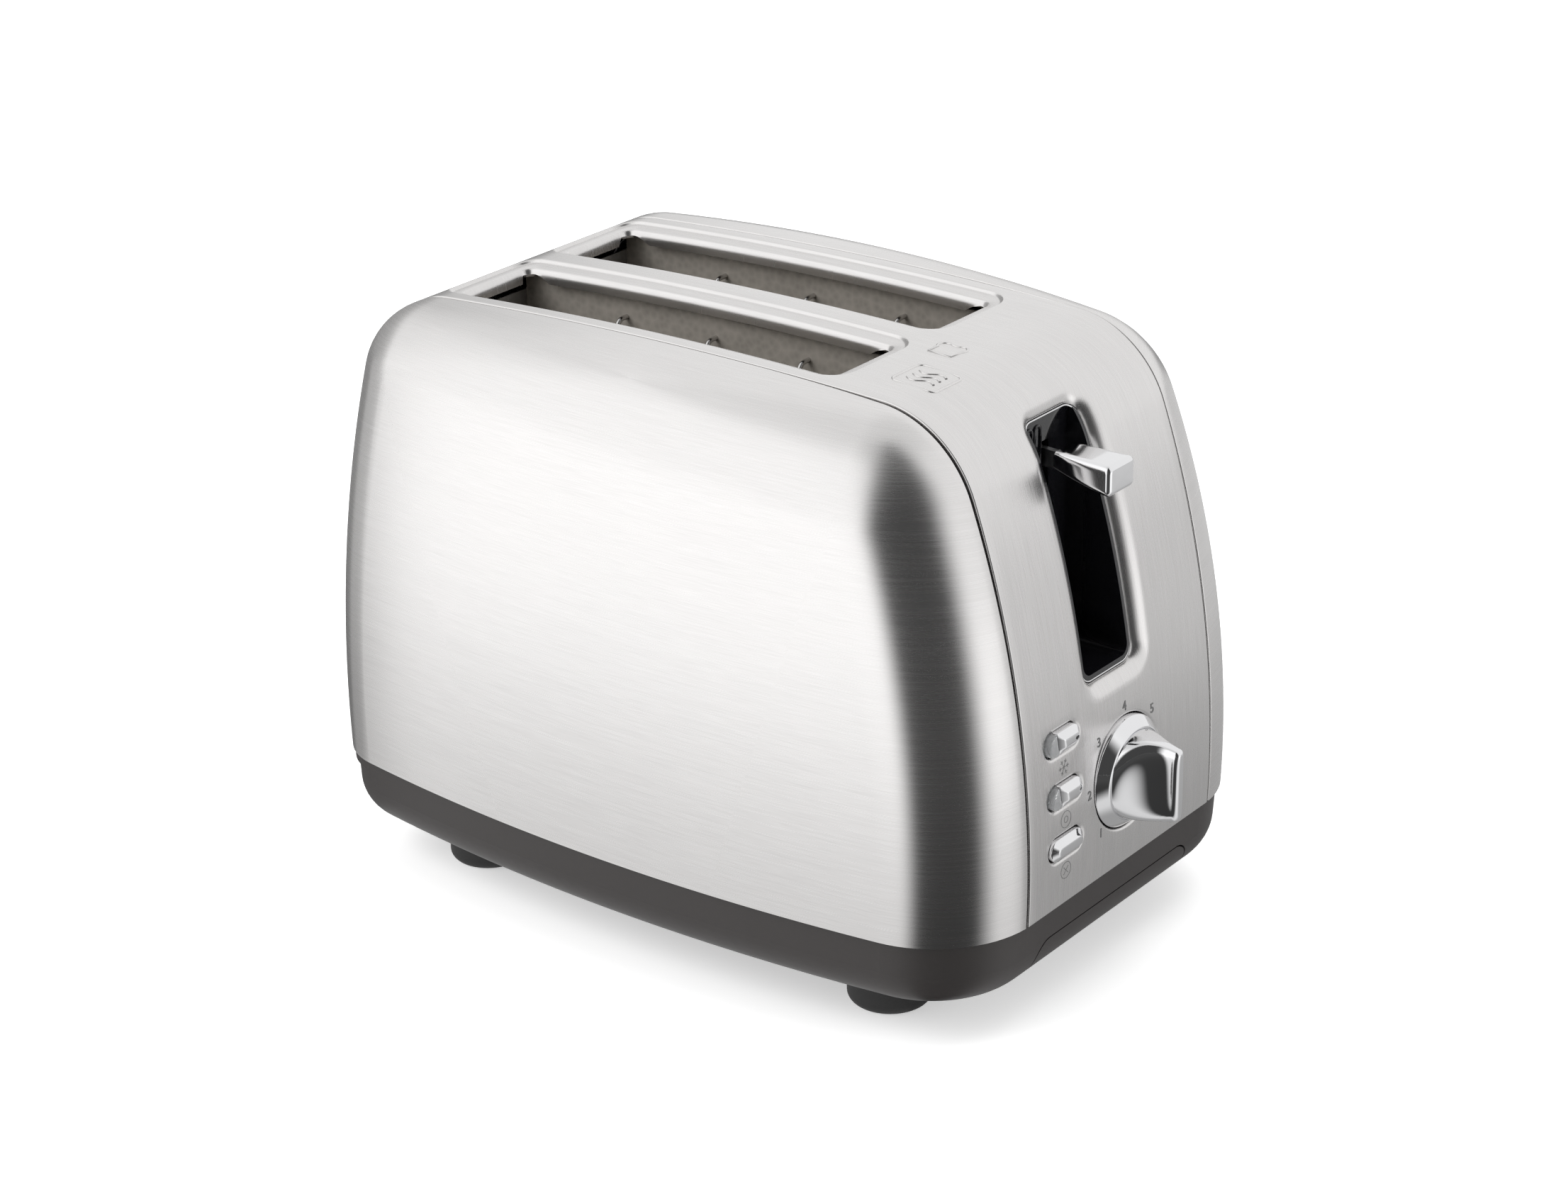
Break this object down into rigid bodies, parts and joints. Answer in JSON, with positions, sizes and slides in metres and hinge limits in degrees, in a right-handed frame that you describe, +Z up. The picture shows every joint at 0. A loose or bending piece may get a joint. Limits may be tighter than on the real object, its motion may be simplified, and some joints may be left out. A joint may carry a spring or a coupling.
{
  "type": "pop up toaster",
  "caption": "Pop-up toaster with a domed steel body, long bread slots with moving guides, a sliding lever, browning dial, push buttons and a pull-out crumb tray",
  "frame": {"origin": "On the floor plane, under the middle of the overall box in plan", "axes": "+X points to the end with the lever and the dial, +Y to the right-hand side panel seen from the rear cord end looking at the controls, +Z up"},
  "size_m": [0.2746, 0.18, 0.19],
  "materials": {
    "steel": "brushed",
    "chrome": "polished",
    "dark_plastic": "satin",
    "gloss_black": "gloss",
    "rubber": "plain",
    "zinc": "plain",
    "wire": "plain",
    "mica": "plain",
    "nichrome": "plain",
    "brass": "plain",
    "copper": "plain",
    "board": "plain",
    "lens": "plain",
    "white_plastic": "plain",
    "iron": "plain"
  },
  "bodies": {
    "housing": {"centre_band": "steel", "side_panel_left": "steel", "side_panel_right": "steel", "base": "dark_plastic", "feet": "rubber", "base_screws": "wire", "cord_gland": "rubber", "floor_plate": "zinc", "front_bulkhead": "zinc", "rear_bulkhead": "zinc", "bulkhead_screws": "wire", "outer_reflector_right": "zinc", "outer_reflector_left": "zinc", "centre_reflector": "zinc", "guide_rods": "wire", "rod_bracket": "zinc", "magnet_core": "iron", "magnet_bobbin": "white_plastic", "magnet_coil": "copper", "control_board": "board", "control_frame": "gloss_black", "board_screws": "wire", "defrost_lens": "lens", "reheat_lens": "lens", "switches": "gloss_black", "indicator_lamps": "lens", "potentiometer": "zinc", "lever_trim": "gloss_black", "terminal_block": "white_plastic", "terminal_screws": "brass", "power_contacts": "white_plastic", "contact_blades": "brass", "heater_card_outer_right": "mica", "heater_ribbon_outer_right": "nichrome", "heater_card_inner_right": "mica", "heater_ribbon_inner_right": "nichrome", "heater_card_inner_left": "mica", "heater_ribbon_inner_left": "nichrome", "heater_card_outer_left": "mica", "heater_ribbon_outer_left": "nichrome"},
    "carriage": {"carriage": "zinc", "carrier_right": "wire", "carrier_left": "wire", "lever_knob": "chrome", "magnet_keeper": "iron", "return_spring": "wire"},
    "crumb_tray": {"crumb_tray_front": "dark_plastic", "crumb_tray_pan": "zinc"},
    "dial": {"browning_dial": "chrome", "dial_shaft": "wire"},
    "defrost": {"defrost_button": "chrome"},
    "reheat": {"reheat_button": "chrome"},
    "cancel": {"cancel_button": "chrome"},
    "guide_outer_right": {"bread_guide_outer_right": "wire"},
    "guide_inner_right": {"bread_guide_inner_right": "wire"},
    "guide_inner_left": {"bread_guide_inner_left": "wire"},
    "guide_outer_left": {"bread_guide_outer_left": "wire"}
  },
  "joints": [
    {"name": "lever_slide", "type": "slide", "parent": "housing", "child": "carriage", "axis": [0, 0, -1], "range_m": [0, 0.054], "stiffness_N_per_m": 60, "springref_m": -0.05, "deforming": ["return_spring"]},
    {"name": "crumb_tray_slide", "type": "slide", "parent": "housing", "child": "crumb_tray", "axis": [1, 0, 0], "range_m": [0, 0.2]},
    {"name": "dial_turn", "type": "hinge", "parent": "housing", "child": "dial", "pos_m": [0.11925, 0.0025, 0.066], "axis": [1, 0, 0], "range_deg": [-135, 135]},
    {"name": "defrost_press", "type": "slide", "parent": "housing", "child": "defrost", "axis": [-1, 0, 0], "range_m": [0, 0.0015], "stiffness_N_per_m": 300, "springref_m": -0.002},
    {"name": "reheat_press", "type": "slide", "parent": "housing", "child": "reheat", "axis": [-1, 0, 0], "range_m": [0, 0.0015], "stiffness_N_per_m": 300, "springref_m": -0.002},
    {"name": "cancel_press", "type": "slide", "parent": "housing", "child": "cancel", "axis": [-1, 0, 0], "range_m": [0, 0.0015], "stiffness_N_per_m": 300, "springref_m": -0.002},
    {"name": "guide_outer_right_slide", "type": "slide", "parent": "housing", "child": "guide_outer_right", "axis": [0, -1, 0], "range_m": [0, 0.0045]},
    {"name": "guide_inner_right_slide", "type": "slide", "parent": "housing", "child": "guide_inner_right", "axis": [0, 1, 0], "range_m": [0, 0.0045]},
    {"name": "guide_inner_left_slide", "type": "slide", "parent": "housing", "child": "guide_inner_left", "axis": [0, -1, 0], "range_m": [0, 0.0045]},
    {"name": "guide_outer_left_slide", "type": "slide", "parent": "housing", "child": "guide_outer_left", "axis": [0, 1, 0], "range_m": [0, 0.0045]}
  ],
  "couplings": [
    {"joint": "guide_outer_right_slide", "follows": "lever_slide", "ratio": 0.083333},
    {"joint": "guide_inner_right_slide", "follows": "lever_slide", "ratio": 0.083333},
    {"joint": "guide_inner_left_slide", "follows": "lever_slide", "ratio": 0.083333},
    {"joint": "guide_outer_left_slide", "follows": "lever_slide", "ratio": 0.083333}
  ]
}
